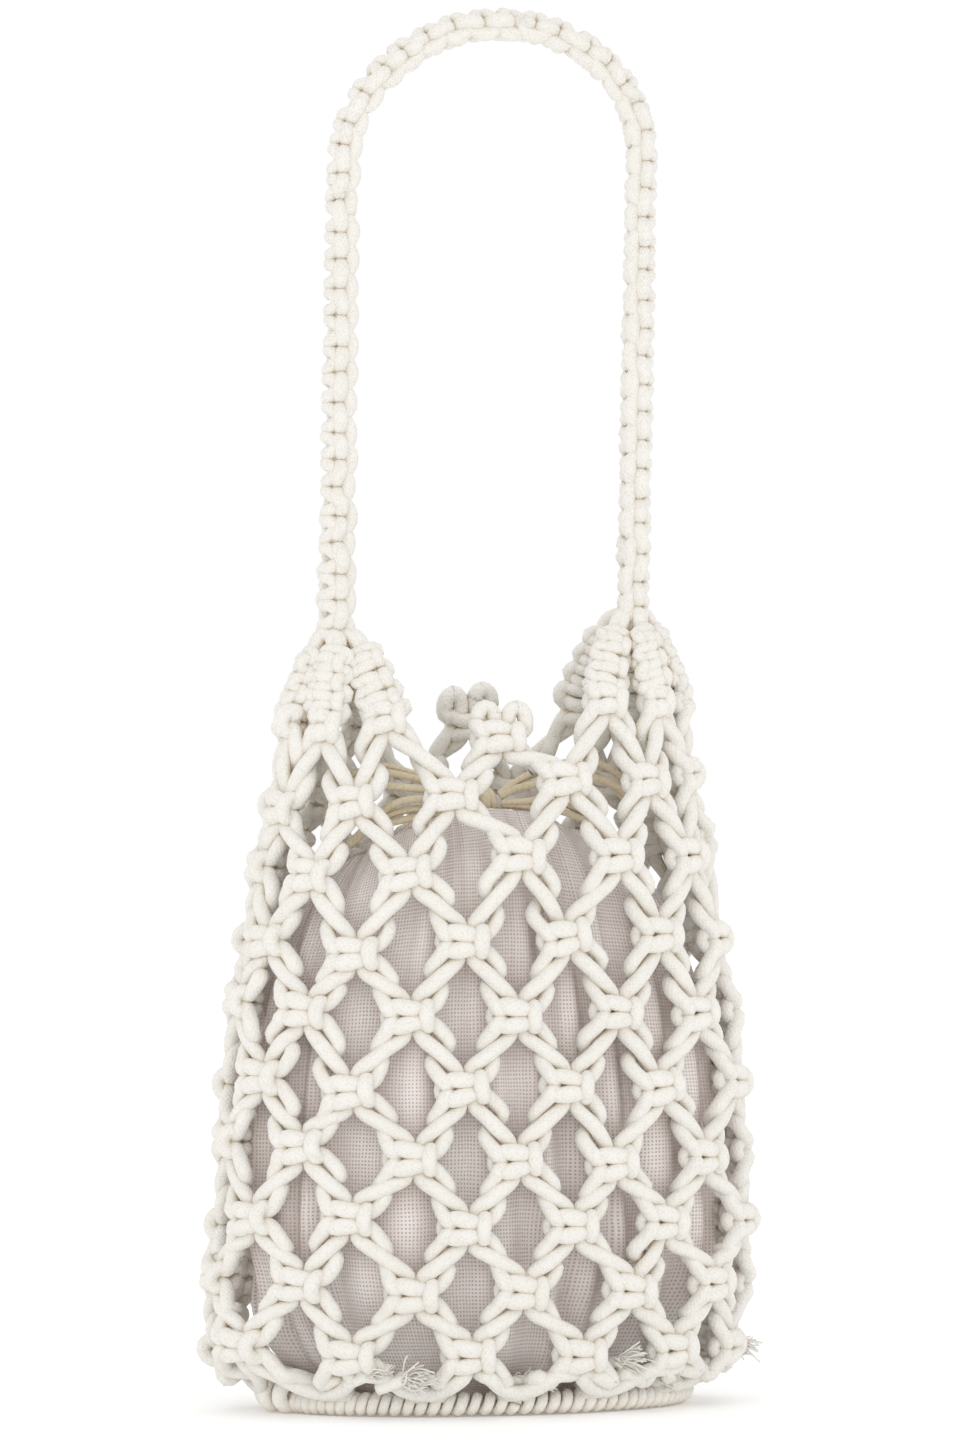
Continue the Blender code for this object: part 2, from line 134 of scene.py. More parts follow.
class Tubes:
    """Round cords gathered into one mesh, with a map of turns round and metres along them."""

    def __init__(self):
        self.points, self.faces, self.map = [], [], []
        self.count = 0

    def add(self, line, radius, sides, start=0.0):
        """Sweep a ring along a line. Radius is one number or one for each point."""
        line = np.asarray(line, float)
        radius = np.broadcast_to(radius, len(line))
        ahead = np.gradient(line, axis=0)
        ahead /= np.linalg.norm(ahead, axis=1)[:, None]
        slanting = (0.31, 0.17, 0.94)
        side = unit(np.cross(ahead[0], slanting))
        turns = np.arange(sides) / sides
        wheel = np.stack([np.cos(math.tau * turns), np.sin(math.tau * turns)], axis=1)
        rings = []
        for middle, direction, reach in zip(line, ahead, radius):
            side = unit(side - side.dot(direction) * direction)
            axes = np.stack([side, np.cross(direction, side)])
            rings.append(middle + reach * wheel @ axes)
        along = start + np.concatenate([[0], np.cumsum(np.linalg.norm(np.diff(line, axis=0), axis=1))])
        rows, columns = np.meshgrid(np.arange(len(line) - 1), np.arange(sides), indexing="ij")
        rows, columns = rows.ravel(), columns.ravel()
        after = (columns + 1) % sides
        corners = np.stack([rows * sides + columns, rows * sides + after,
                            (rows + 1) * sides + after, (rows + 1) * sides + columns], axis=1)
        self.faces.extend((corners + self.count).tolist())
        near, far = along[rows], along[rows + 1]
        left, right = columns / sides, (columns + 1) / sides
        self.map.append(np.stack([left, near, right, near, right, far, left, far], axis=1).ravel())
        last = self.count + (len(line) - 1) * sides
        for ring, where in ((range(self.count + sides - 1, self.count - 1, -1), along[0]),
                            (range(last, last + sides), along[-1])):
            self.faces.append(list(ring))
            self.map.append(np.stack([turns, np.full(sides, where)], axis=1).ravel())
        self.points.append(np.vstack(rings))
        self.count += len(line) * sides

    def add_uneven(self, line, sides):
        """Sweep a line of points and radii, a little thicker and thinner as cord is."""
        spread = CORD_UNEVEN, CORD_STRAY, CORD_STRAY, CORD_STRAY
        beats = rng.normal((1, 0, 0, 0), spread, (len(line) // CORD_BEAT + 2, 4))
        places = CORD_BEAT * np.arange(len(beats))
        wander = np.stack([np.interp(np.arange(len(line)), places, beat) for beat in beats.T], axis=1)
        self.add(line[:, :3] + wander[:, 1:], line[:, 3] * wander[:, 0], sides, rng.uniform(0, 0.1))

    def piece(self, name, material):
        """All the tubes as one finished piece."""
        mesh = bpy.data.meshes.new(name)
        mesh.from_pydata(np.vstack(self.points).tolist(), [], self.faces)
        mesh.uv_layers.new(name="cord").data.foreach_set("uv", np.concatenate(self.map))
        return finished(name, mesh, material)


def finished(name, mesh, material):
    """A smooth piece that rides with the bag."""
    mesh.materials.append(material)
    mesh.shade_smooth()
    mesh.update()
    piece = bpy.data.objects.new(name, mesh)
    bpy.context.scene.collection.objects.link(piece)
    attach(piece, "root")
    return piece


def node(tree, kind, links=(), **settings):
    """A shader node with its settings, and what goes into its inputs: sockets or values."""
    made = tree.nodes.new(kind)
    for name, value in settings.items():
        setattr(made, name, value)
    for key, value in dict(links).items():
        if isinstance(value, bpy.types.NodeSocket):
            tree.links.new(value, made.inputs[key])
        else:
            made.inputs[key].default_value = value
    return made


def sums(tree, operation, *values):
    """The result of a sum on sockets or numbers."""
    made = node(tree, "ShaderNodeMath", dict(enumerate(values)), operation=operation)
    return made.outputs[0]


def blended(tree, factor, first, second):
    """A colour that goes from the first to the second as the factor rises."""
    first, second = [(*colour, 1) if isinstance(colour, tuple) else colour
                     for colour in (first, second)]
    made = node(tree, "ShaderNodeMix", {"Factor": factor, "A": first, "B": second},
                data_type="RGBA", clamp_factor=True)
    return made.outputs[2]


def shader_group(name, inputs, outputs):
    """An empty node group, the sockets that it is given and those of its results."""
    tree = bpy.data.node_groups.new(name, "ShaderNodeTree")
    for label, kind, value in inputs:
        socket = tree.interface.new_socket(label, in_out="INPUT", socket_type=kind)
        socket.default_value = value
    for label, kind in outputs:
        tree.interface.new_socket(label, in_out="OUTPUT", socket_type=kind)
    return tree, tree.nodes.new("NodeGroupInput").outputs, tree.nodes.new("NodeGroupOutput").inputs


def braid_group():
    """Ridges of yarn that cross on a cord: their height, and a mask of the lines between them."""
    tree, given, result = shader_group(
        "braid",
        (("Turns", "NodeSocketFloat", 6.0), ("Pitch", "NodeSocketFloat", 0.0024),
         ("Crossed", "NodeSocketFloat", 1.0)),
        (("Height", "NodeSocketFloat"), ("Lines", "NodeSocketFloat")),
    )
    where = node(tree, "ShaderNodeSeparateXYZ",
                 {0: node(tree, "ShaderNodeUVMap", uv_map="cord").outputs[0]})
    round_it = sums(tree, "MULTIPLY", where.outputs["X"], given["Turns"])
    along = sums(tree, "DIVIDE", where.outputs["Y"], given["Pitch"])
    ridges = []
    for operation in ("ADD", "SUBTRACT"):
        phase = sums(tree, "MULTIPLY", sums(tree, operation, along, round_it), math.pi)
        ridges.append(sums(tree, "ABSOLUTE", sums(tree, "SINE", phase)))
    other = sums(tree, "MULTIPLY_ADD", sums(tree, "SUBTRACT", ridges[1], 1.0), given["Crossed"], 1.0)
    height = sums(tree, "POWER", sums(tree, "MULTIPLY", ridges[0], other), 0.6)
    tree.links.new(height, result["Height"])
    tree.links.new(sums(tree, "SUBTRACT", 1.0, height), result["Lines"])
    return tree


BRAID = braid_group()


def cord_material(name, light, dark, crease_shade, roughness, turns, pitch, crossed, depth, sheen):
    """Cord of spun yarn, with painted shade in the grooves between its ridges, and fuzzy up close.
    Where cords crowd each other, ambient occlusion paints shade, towards a darker colour given for it."""
    material = bpy.data.materials.new(name)
    material.use_nodes = True
    tree = material.node_tree
    surface = tree.nodes["Principled BSDF"]
    braid = node(tree, "ShaderNodeGroup", {"Turns": turns, "Pitch": pitch, "Crossed": crossed},
                 node_tree=BRAID)
    place = node(tree, "ShaderNodeTexCoord").outputs["Object"]
    cloudy = node(tree, "ShaderNodeTexNoise", {"Vector": place, "Scale": 35.0, "Detail": 3.0})
    fibre = node(tree, "ShaderNodeTexNoise", {"Vector": place, "Scale": 1900.0, "Detail": 2.0})
    # Noise patches that break the painted groove shade into short dashes
    groove_dashes = node(tree, "ShaderNodeTexNoise", {"Vector": place, "Scale": 700.0, "Detail": 1.0})
    groove_dashes = node(tree, "ShaderNodeMapRange",
                {"Value": groove_dashes.outputs[0], "From Min": 0.47, "From Max": 0.64})
    # Painted shade: the lines between the braid's ridges are darkened, in patches that break them into
    # dashes
    lines = sums(tree, "MULTIPLY", braid.outputs["Lines"], groove_dashes.outputs[0])
    shade = sums(tree, "MULTIPLY_ADD", cloudy.outputs[0], 0.6, -0.2)
    shade = sums(tree, "MULTIPLY_ADD", lines, 0.95, shade)
    shade = sums(tree, "MULTIPLY_ADD", fibre.outputs[0], 0.25, shade)
    yarn = blended(tree, shade, light, dark)
    # Painted shade: ambient occlusion darkens the colour where cords crowd each other
    open_air = node(tree, "ShaderNodeAmbientOcclusion", {"Distance": 0.005}, samples=6)
    crease_shade_mask = node(tree, "ShaderNodeMapRange",
                   {"Value": open_air.outputs["AO"], "From Min": 0.75, "From Max": 0.15,
                    "To Min": 0.0, "To Max": 0.9}, interpolation_type="SMOOTHSTEP")
    colour = blended(tree, crease_shade_mask.outputs[0], yarn, crease_shade)
    tree.links.new(colour, surface.inputs["Base Color"])
    relief = sums(tree, "MULTIPLY_ADD", fibre.outputs[0], 0.5, braid.outputs["Height"])
    bump = node(tree, "ShaderNodeBump", {"Height": relief, "Distance": depth, "Strength": 0.8})
    tree.links.new(bump.outputs[0], surface.inputs["Normal"])
    rough = sums(tree, "MULTIPLY_ADD", fibre.outputs[0], 0.15, roughness)
    tree.links.new(rough, surface.inputs["Roughness"])
    surface.inputs["Sheen Weight"].default_value = sheen
    surface.inputs["Sheen Roughness"].default_value = 0.5
    surface.inputs["Specular IOR Level"].default_value = 0.25
    return material


# The third colour of each cord material is the painted shade where cords crowd each other
WAXED = cord_material("waxed_cord", light=(0.86, 0.77, 0.58), dark=(0.74, 0.62, 0.42),
                      crease_shade=(0.46, 0.34, 0.20), roughness=0.45, turns=2.0, pitch=0.0024,
                      crossed=0.0, depth=0.0002, sheen=0.1)


def outside_tie(middle, towards):
    """Point just outside a knot, on the way from its middle to another point."""
    way = unit(towards - middle)
    return middle + way * (0.5 / np.linalg.norm(way / TIE_SIZE) + TIE_GAP)


for name, route in DRAWCORD_ROUTES.items():
    for count, bow in enumerate(STRANDS[name], 1):
        side = -1 if name.startswith("left") else 1
        share = np.sin(math.pi * np.linspace(0.1, 0.9, len(route)))[:, None]
        strand = np.array(route) + share * np.multiply(bow, (side, 1, 1))
        end = END_TIES[name.split("_")[0]]
        ends = outside_tie(MIDDLE_TIE, strand[0]), outside_tie(end, strand[-1])
        line = smooth_line(np.vstack([ends[0], strand, ends[1]]), DRAWCORD_SPACING)
        tubes = Tubes()
        tubes.add(line, DRAWCORD / 2, DRAWCORD_SIDES, rng.uniform(0, 0.1))
        piece = tubes.piece(f"cord_{name}_{count}", WAXED)
        length = float(np.linalg.norm(np.diff(line, axis=0), axis=1).sum())
        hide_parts(f"drawcord_{name}")


def tie_turns(middle, size, turns, lean):
    """One layer of a tie: cord wound over itself in a bundle of a given size."""
    angle = np.linspace(0, math.tau * turns, 26 * turns)
    spread = np.linspace(-1, 1, len(angle))
    core = size / 2 - DRAWCORD / 2
    x = core[0] * (0.55 * spread + 0.45 * np.sin(angle * lean))
    return middle + np.stack([x, core[1] * np.cos(angle), core[2] * np.sin(angle)], axis=1)


for word, middle in (("middle", MIDDLE_TIE), *END_TIES.items()):
    tubes = Tubes()
    for layer, (shares, turns, lean) in enumerate(TIE_LAYERS):
        line = tie_turns(middle, TIE_SIZE * shares, turns, lean)
        tubes.add(line, DRAWCORD / 2, DRAWCORD_SIDES, 0.1 * layer)
    tie = tubes.piece(f"tie_{word}", WAXED)
    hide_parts(f"drawcord_knot_{word}")

# Net
# Braided cotton cord tied in square knots, four cords to a knot. Each pair of cords parts below
# a knot and joins its neighbour's pair, which leaves long six-sided gaps.
NET_WIDTH = 0.196
NET_DEPTH = 0.103
NET_HEIGHT = 0.256
KNOTS_PER_ROW = 12
FRONT_DIP = 0.010
BACK_DIP = 0.003
KNOT_WIDTH = 0.0225
KNOT_HEIGHT = 0.0126
CROWDING = 0.76
RIM_WIDTH = 0.152
RIM_DEPTH = 0.080
RIM_THICKNESS = 0.009
CORD_RADIUS = 0.0028
CORD_SIDES = 12
TYING_SPACING = 0.0016
FILLER_SPACING = 0.0020
MM = 0.001
KNOT_TURN = 0.08
KNOT_SHIFT = 0.0005

# The bag hangs lower on its left side, by a slope that grows over these shares of its height.
# The same side bulges out near the foot
SLUMP = 0.07
SLUMP_FROM = 0.55
SLUMP_OVER = 0.35
BULGE = 0.0085
BULGE_AT = 0.026
BULGE_OVER = 0.018

# Height, width and depth of each row as shares of the net's, and how knots crowd, in degrees
NET_ROWS = (
    (1.000, 0.755, 0.410, 1.5, 3.5),
    (0.887, 0.796, 0.640, 0.0, 0.0),
    (0.798, 0.837, 0.816, -0.7, 0.0),
    (0.679, 0.898, 0.854, -4.2, 0.0),
    (0.570, 0.944, 0.874, -5.6, 0.0),
    (0.468, 0.974, 0.913, -7.0, 0.0),
    (0.368, 0.985, 0.961, -7.0, 0.0),
    (0.269, 1.000, 0.990, -7.0, 0.0),
    (0.180, 0.990, 1.000, -7.0, 0.0),
    (0.0875, 0.949, 0.971, -7.0, 0.0),
)

# Knots that were tied off their even place: row, knot, and millimetres rightwards and upwards
TIED_OFF = {(0, 9): (3, 2), (0, 11): (0, 4), (0, 1): (1, 4), (1, 0): (3, 2), (1, 9): (-2, 0),
            (2, 9): (-3, 0), (2, 10): (1, -4), (2, 11): (2, -5), (2, 0): (2, 0), (2, 1): (0, -3),
            (2, 2): (-1, -5), (3, 10): (1, -4), (3, 2): (-2, -3), (4, 9): (3, 4), (4, 10): (2, 2),
            (4, 2): (-3, 0), (5, 9): (3, 4), (5, 10): (-2, -1), (5, 1): (-3, 0), (6, 9): (3, 5),
            (6, 10): (1, 4), (6, 1): (-3, -2), (6, 2): (-4, -2), (7, 9): (3, 4), (7, 10): (-1, 4),
            (7, 1): (-3, 0), (8, 9): (-3, 5), (8, 10): (3, 3), (8, 1): (4, -1), (9, 9): (0, 4),
            (9, 0): (4, 0), (9, 1): (4, 0), (9, 10): (0, 2)}

# One square knot, in millimetres rightwards, upwards and outwards and then the cord's radius,
# from its top to its middle. The lower half mirrors it. The tying cord that starts on the right
# makes both bars, and the one that starts on the left makes the upright fold over them.
# The fillers run straight through.
HALF_LEFT = ((-9.8, 5.6, 1.4, 2.8), (-8.2, 2.8, 3.3, 2.9), (-6.2, 1.4, 1.6, 2.8),
             (-3.6, 1.8, -2.8, 2.7), (0.0, 2.3, -4.2, 2.8), (3.6, 2.8, -3.6, 2.7),
             (6.0, 4.0, -0.8, 2.5), (5.6, 3.6, 3.0, 2.7), (5.1, 1.4, 4.9, 2.9))
HALF_RIGHT = ((9.4, 5.0, -0.4, 2.8), (7.2, 2.7, -0.1, 2.6), (4.5, 1.9, 1.0, 2.6),
              (1.5, 2.3, 3.4, 3.0), (-2.0, 2.95, 4.4, 3.25), (-5.3, 3.6, 3.4, 2.95),
              (-8.0, 2.9, 0.3, 2.6), (-9.0, 0.0, -1.4, 2.6))
HALF_FILL_LEFT = ((-2.5, 6.3, 0.2, 2.8), (-2.5, 2.5, 0.0, 2.7))
HALF_FILL_RIGHT = ((2.5, 6.3, 0.2, 2.8), (2.5, 2.5, 0.0, 2.7))
CORE = {"left": HALF_LEFT, "right": HALF_RIGHT, "fill_left": HALF_FILL_LEFT,
        "fill_right": HALF_FILL_RIGHT}

# Where a tying cord comes in above a knot and goes out below it, how far each cord stands out
# where it crosses another, and its part in the next knot, with that knot's step sideways
ENTRY = {"left": (-11.0, 10.4, -1.6, 2.9), "right": (11.5, 9.8, -1.4, 2.9)}
LEAVING = {"left": (-12.6, -10.6, -1.6, 2.9), "right": (13.0, -10.5, -1.4, 2.9)}
CROSSING = {"left": -2.8, "right": -2.8, "fill_left": 2.2, "fill_right": 2.2}
NEXT = {"left": ("right", -1), "fill_left": ("fill_right", -1),
        "right": ("left", 0), "fill_right": ("fill_left", 0)}


def slumped(point):
    """Tilt the upper half of the bag, because it hangs lower on its left side, and let the foot
    of the net bulge out there."""
    share = min(max((point[2] / NET_HEIGHT - SLUMP_FROM) / SLUMP_OVER, 0.0), 1.0)
    moved = np.array(point, float)
    moved[2] += SLUMP * point[0] * share * share * (3 - 2 * share)
    moved[0] -= bulge(point[0], point[2])
    return moved


def bulge(x, z):
    """How far the left side bulges near the foot."""
    low = np.exp(-((z - BULGE_AT) / BULGE_OVER) ** 2)
    return BULGE * np.clip(-x / (NET_WIDTH / 2), 0, None) ** 3 * low


def ring_point(half_width, half_depth, angle, height):
    """A point on a level oval, at an angle from its front towards the right."""
    return np.array([half_width * math.sin(angle), -half_depth * math.cos(angle), height])


class Frame:
    """Where a knot is, its directions right, up and out, and its scales along them and of its
    cord's thickness."""

    def __init__(self, middle, right, up, scale):
        self.middle, self.right, self.up = middle, right, up
        self.out = np.cross(right, up)
        self.scale = scale

    def at(self, point):
        """Place and radius of a point given in millimetres along the knot's directions."""
        u, v, w, radius = np.multiply(point, self.scale) * MM
        return np.append(self.middle + self.right * u + self.up * v + self.out * w, radius)


def wall_frame(angle, half_width, half_depth, middle, lower, upper):
    """A knot that lies flat on the net's wall."""
    right = unit(np.array([half_width * math.cos(angle), half_depth * math.sin(angle), 0]))
    up = upper - lower
    return Frame(middle, right, unit(up - up.dot(right) * right), (1.0, 1.0, 1.0, 1.0))


def handmade(knot, turn, shift):
    """Turn a knot a little on the wall and shift it, as a hand-tied one sits."""
    right = knot.right * math.cos(turn) + knot.up * math.sin(turn)
    up = knot.up * math.cos(turn) - knot.right * math.sin(turn)
    middle = knot.middle + knot.right * shift[0] + knot.up * shift[1]
    return Frame(middle, right, up, knot.scale)


def knot_angle(row, count):
    """Angle of a knot round the bag, counted from the front, crowded as its row says."""
    even = math.tau * count / KNOTS_PER_ROW
    return even + math.radians(row[3] * math.sin(2 * even) + row[4] * math.sin(4 * even))


def row_point(row, angle):
    """A point of a row's oval at an angle."""
    return ring_point(row[1] * NET_WIDTH / 2, row[2] * NET_DEPTH / 2, angle, row[0] * NET_HEIGHT)


def knot_frame(index, count):
    """The even place of a knot. The top row dips a little at the front and back."""
    row = NET_ROWS[index]
    angle = knot_angle(row, count)
    above, below = NET_ROWS[max(index - 1, 0)], NET_ROWS[min(index + 1, len(NET_ROWS) - 1)]
    middle = row_point(row, angle)
    if index == 0:
        middle[2] -= (FRONT_DIP if math.cos(angle) > 0 else BACK_DIP) * math.cos(angle) ** 8
    return wall_frame(angle, row[1] * NET_WIDTH / 2, row[2] * NET_DEPTH / 2, middle,
                      row_point(below, angle), row_point(above, angle))


rows = []
for index in range(len(NET_ROWS)):
    frames = [knot_frame(index, i + 0.5 * (index % 2)) for i in range(KNOTS_PER_ROW)]
    for i, knot in enumerate(frames):
        nearest = min(np.linalg.norm(frames[(i + step) % KNOTS_PER_ROW].middle - knot.middle)
                      for step in (-1, 1))
        knot.scale = (min(KNOT_WIDTH, CROWDING * nearest) / KNOT_WIDTH, 1.0, 1.0, 1.0)
    tied = []
    for i, knot in enumerate(frames):
        turn = rng.normal(0, KNOT_TURN)
        shift = rng.normal(0, KNOT_SHIFT, 2) + np.multiply(TIED_OFF.get((index, i), (0, 0)), MM)
        tied.append(handmade(knot, turn, shift))
    rows.append(tied)


def through_knot(knot, role, entry=True, leaving=True, core=CORE):
    """Points of one cord through a knot, from its top to its bottom."""
    half = core[role]
    points = [*half, *[(u, -v, w, radius) for u, v, w, radius in reversed(half) if v]]
    if entry and role in ENTRY:
        points.insert(0, ENTRY[role])
    if leaving and role in LEAVING:
        points.append(LEAVING[role])
    return [knot.at(point) for point in points]


def foot_point(count, outwards, height):
    """A point of the net's cords close to the base rim. Outwards is from the rim's middle line."""
    angle = knot_angle(NET_ROWS[-1], count)
    return np.append(ring_point(RIM_WIDTH / 2 + outwards, RIM_DEPTH / 2 + outwards, angle, height),
                     CORD_RADIUS)


# Below the last row each filler swings in a low arc to meet its neighbour's, and each tying cord
# goes down behind that arc: knots sideways, metres outwards from the rim and metres high
FOOT_ARC = ((0.14, 0.0120, 0.0150), (0.30, 0.0085, 0.0105), (0.46, 0.0068, 0.0090),
            (0.58, 0.0045, 0.0085), (0.66, 0.0000, 0.0075))
FOOT_TUCK = ((0.30, 0.0100, 0.0150), (0.36, 0.0050, 0.0125), (0.40, -0.0015, 0.0100))


def run_down(first, role, above):
    """Points of one cord from the top row of knots to the base rim."""
    points = list(above)
    i = first
    for index, frames in enumerate(rows):
        knot = frames[i]
        points += through_knot(knot, role, entry=not (index == 0 and above))
        if index + 1 == len(rows):
            break
        following, step = NEXT[role]
        below = (i + step + index % 2) % KNOTS_PER_ROW
        target = rows[index + 1][below]
        entry = ENTRY.get(following, CORE[following][0])
        middle = (points[-1] + target.at(entry)) / 2
        middle[:3] += unit(knot.out + target.out) * CROSSING[role] * MM
        points.append(middle)
        i, role = below, following
    count = i + 0.5 * ((len(rows) - 1) % 2)
    side = -1 if role.endswith("left") else 1
    arc = FOOT_ARC if role.startswith("fill") else FOOT_TUCK
    points += [foot_point(count + side * across, outwards, height) for across, outwards, height in arc]
    return [slumped(point) for point in points]


# Cotton cord: warm white, with a fine braid that shows only up close
COTTON = cord_material("cotton_cord", light=(0.87, 0.85, 0.805), dark=(0.79, 0.755, 0.69),
                       crease_shade=(0.73, 0.64, 0.51), roughness=0.8, turns=9.0, pitch=0.0017,
                       crossed=1.0, depth=0.0002, sheen=0.2)

# Sennits
# Short stacks of the same knots that rise from the top row and gather under the handle's feet.
# Their tying cords close over the top in a last bar and their fillers run up into the handle.
# Only the centre knots, front and back, end in two folded loops.
HANDLE_SPAN = 0.116
HANDLE_WIDTH = 0.0180
GATHER_HEIGHT = NET_HEIGHT + 0.0255
SENNIT_KNOTS = 3
SENNIT_FOOT = 0.4 * KNOT_HEIGHT
FILLER_REACH = 0.009

# How high the loops rise above the middle of their knot, in millimetres, and which knots of the
# top row are on the front half
PICOT_FRONT = 12.5
PICOT_BACK = 12.0
FRONT_KNOTS = (9, 10, 11, 0, 1, 2, 3)

# Knot of the top row that each sennit stands on, its top as shares of the handle's width outwards
# and backwards, and which way it faces there, in degrees from the front
SENNITS = {"front_inner": (1, -0.52, -0.46, 4), "front_outer": (2, 0.04, -0.44, 48),
           "side": (3, 0.40, 0.00, 90), "back_outer": (4, 0.04, 0.44, 132),
           "back_inner": (5, -0.52, 0.46, 176)}

# Scales of the knots of a sennit, from its bottom to its top
SENNIT_SCALES = ((0.76, 0.62, 0.78, 0.90), (0.70, 0.60, 0.74, 0.87), (0.64, 0.58, 0.70, 0.84))

# Each filler, the tying cord that it turns into at the top, and their side
LOOPS = {"fill_left": ("left", -1), "fill_right": ("right", 1)}


def sennit_frames(side, place, out, back, facing):
    """Frames of the stacked knots of one sennit, from its top to its bottom."""
    base = knot_frame(0, side * place)
    start = base.middle + base.up * SENNIT_FOOT
    top = np.array([side * (HANDLE_SPAN / 2 + out * HANDLE_WIDTH), back * HANDLE_WIDTH,
                    GATHER_HEIGHT])
    facing = side * math.radians(facing)
    across = np.array([math.cos(facing), math.sin(facing), 0])
    frames = []
    for level in range(SENNIT_KNOTS):
        share = (level + 0.5) / SENNIT_KNOTS
        up = unit(top - start)
        right = base.right * (1 - share) + across * share
        frames.append(Frame(start + (top - start) * share, unit(right - right.dot(up) * up), up,
                            SENNIT_SCALES[level]))
    return frames[::-1]


def loop_over(knot, side, rise):
    """A fold of cord on top of a knot, from its filler to its outer tying cord."""
    return [knot.at(point) for point in (
        (side * 2.5, 5.5, 0.3, 2.8), (side * 2.7, rise - 3.0, 0.9, 2.9),
        (side * 4.0, rise - 0.6, 1.1, 2.9), (side * 6.2, rise, 1.1, 2.9),
        (side * 8.6, rise - 2.4, 0.9, 2.9), (side * 9.2, 5.5, 0.6, 2.8))]


def over_top(knot, side):
    """Half of the last bar of a sennit, from past its middle to its edge."""
    return [knot.at(point) for point in (
        (-side * 2.5, 8.3, 2.2, 2.7), (side * 1.0, 8.6, 2.8, 2.8), (side * 5.2, 8.0, 2.0, 2.8),
        (side * 8.6, 6.4, 0.4, 2.7))]


def into_handle(knot, side, level):
    """A filler's way from the top knot of a sennit up into the foot of the handle."""
    foot = np.array([math.copysign(HANDLE_SPAN / 2, knot.middle[0]), 0, GATHER_HEIGHT + level])
    top = knot.at((side * 2.4, 6.0, 0.0, 2.6))
    inside = np.append(foot + (top[:3] - foot) * (0.25, 0.25, 0), 2.4 * MM)
    shoulder = np.append(foot + (top[:3] - foot) * (0.75, 0.75, 0) - (0, 0, 0.35 * level), 2.6 * MM)
    return [inside, shoulder, top]


def stack_points(frames, role):
    """Points of one cord down a stack of knots."""
    return [point for knot in frames for point in through_knot(knot, role, False, False)]


strands = {"fillers": [], "tying_front": [], "tying_back": []}
for i in range(KNOTS_PER_ROW):
    stack = []
    for side in (-1, 1):
        for place, *lean in SENNITS.values():
            if (side * place) % KNOTS_PER_ROW == i:
                stack = sennit_frames(side, place, *lean)
    top = stack[0] if stack else rows[0][i]
    rise = PICOT_FRONT if i == 0 else PICOT_BACK
    for filler, (partner, side) in LOOPS.items():
        loop = loop_over(top, side, rise)
        start = over_top(top, side) if stack else loop[1:]
        tying = run_down(i, partner, start + stack_points(stack, partner))
        start = into_handle(top, side, FILLER_REACH) if stack else loop[3::-1]
        filling = run_down(i, filler, start + stack_points(stack, filler))
        strands["tying_front" if i in FRONT_KNOTS else "tying_back"].append(tying)
        strands["fillers"].append(filling)

for word, group in strands.items():
    tubes = Tubes()
    for points in group:
        spacing = FILLER_SPACING if word == "fillers" else TYING_SPACING
        tubes.add_uneven(smooth_line(points, spacing), CORD_SIDES)
    piece = tubes.piece(f"net_{word}", COTTON)
    if word == "fillers":
        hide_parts("net", *[f"picot_{face}_{side}" for face in ("front", "back")
                                    for side in ("left", "right")])
    else:
        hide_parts("net", *[
            f"sennit_{side}_{name}" for side in ("left", "right") for name in SENNITS
            if name.startswith("back") == word.endswith("back")])

# Handle
# One long flat sennit of square knots in the same cord, pulled tight. Its bars face sideways and
# the folds of its tying cords make the columns on its edges.
HANDLE_LEG = 0.179
HANDLE_RISE = 0.0505
HANDLE_LEAN = 0.0035
HANDLE_KNOTS = 52
HANDLE_SCALE = (0.76, 0.79, 0.76, 0.94)
HANDLE_FOOT = 0.006

# How unevenly its knots are twisted, in degrees, and how they are turned and shifted on the band
HANDLE_UNEVEN = 4
HANDLE_TURN = 0.10
HANDLE_SHIFT = 0.0004

spring = GATHER_HEIGHT + HANDLE_LEG
turn = np.linspace(0, math.pi, 49)
arch = np.stack([HANDLE_LEAN - HANDLE_SPAN / 2 * np.cos(turn), 0 * turn,
                 spring + HANDLE_RISE * np.sin(turn)], axis=1)
foot = GATHER_HEIGHT - HANDLE_FOOT
line = np.vstack([(-HANDLE_SPAN / 2, 0, foot), arch, (HANDLE_SPAN / 2, 0, foot)])
along = np.concatenate([[0], np.cumsum(np.linalg.norm(np.diff(line, axis=0), axis=1))])
at = (np.arange(HANDLE_KNOTS) + 0.5) / HANDLE_KNOTS * along[-1]
middles = np.stack([np.interp(at, along, column) for column in line.T], axis=1)

# The band turns a little on its way: share of its length, and degrees about its own line
HANDLE_TWIST = np.array(((0.00, 15), (0.10, 10), (0.20, 0), (0.32, -8), (0.50, 0), (0.68, 8),
                         (1.00, 0)))

# Pulled tight, the folds of the tying cord are long enough to meet end to end
LONG_FOLD = ((6.0, 5.9, -0.8, 2.6), (6.2, 6.0, 2.2, 2.8), (6.0, 2.8, 4.6, 3.1), (5.8, 0.0, 5.0, 3.2))
THICK_BAR = ((1.5, 2.3, 3.2, 3.2), (-2.0, 2.5, 4.0, 3.45), (-5.3, 2.7, 3.0, 3.2))
HANDLE_CORE = {**CORE, "left": (*HALF_LEFT[:6], *LONG_FOLD),
               "right": (*HALF_RIGHT[:3], *THICK_BAR, *HALF_RIGHT[6:])}
handle_frames = []
for i, middle in enumerate(middles):
    ahead = unit(middles[min(i + 1, HANDLE_KNOTS - 1)] - middles[max(i - 1, 0)])
    knot = Frame(slumped(middle), np.array([0, -1.0, 0]), -ahead, HANDLE_SCALE)
    twist = math.radians(np.interp(at[i] / along[-1], *HANDLE_TWIST.T) + rng.normal(0, HANDLE_UNEVEN))
    right = knot.right * math.cos(twist) + knot.out * math.sin(twist)
    knot = Frame(knot.middle, right, knot.up, HANDLE_SCALE)
    handle_frames.append(handmade(knot, rng.normal(0, HANDLE_TURN), rng.normal(0, HANDLE_SHIFT, 2)))
tubes = Tubes()
